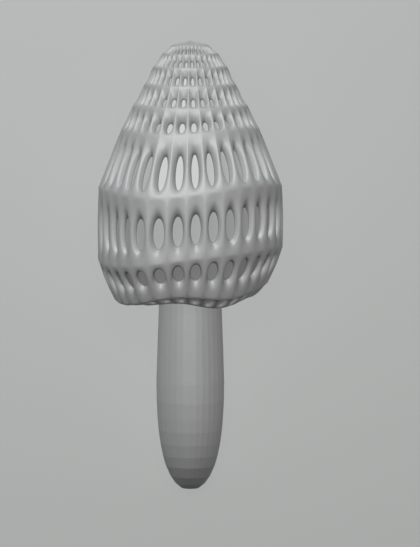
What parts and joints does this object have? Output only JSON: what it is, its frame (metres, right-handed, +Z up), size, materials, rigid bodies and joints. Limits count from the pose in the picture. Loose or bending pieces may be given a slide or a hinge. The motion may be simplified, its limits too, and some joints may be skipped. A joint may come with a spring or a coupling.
{
  "type": "morel mushroom",
  "caption": "Picked morel lying on its side: a conical cap netted with ridges and oval pits, tucked in under its rim, on a plain round stem with a narrow foot.",
  "frame": {"origin": "middle of the part's box as seen from above, on the surface it lies on", "axes": "+Z up from the surface, +Y along the length towards the tip of the cap, +X to the right seen from the foot"},
  "size_m": [0.046, 0.1066, 0.0476],
  "materials": {
    "cap_flesh": "pale grey fungus flesh with a soft waxy sheen, finely mealy, darker round the floors of the pits",
    "stem_flesh": "pale grey fungus flesh with a soft waxy sheen, finely grained along its length"
  },
  "bodies": {
    "root": {"cap": "cap_flesh", "stem": "stem_flesh"}
  },
  "joints": []
}
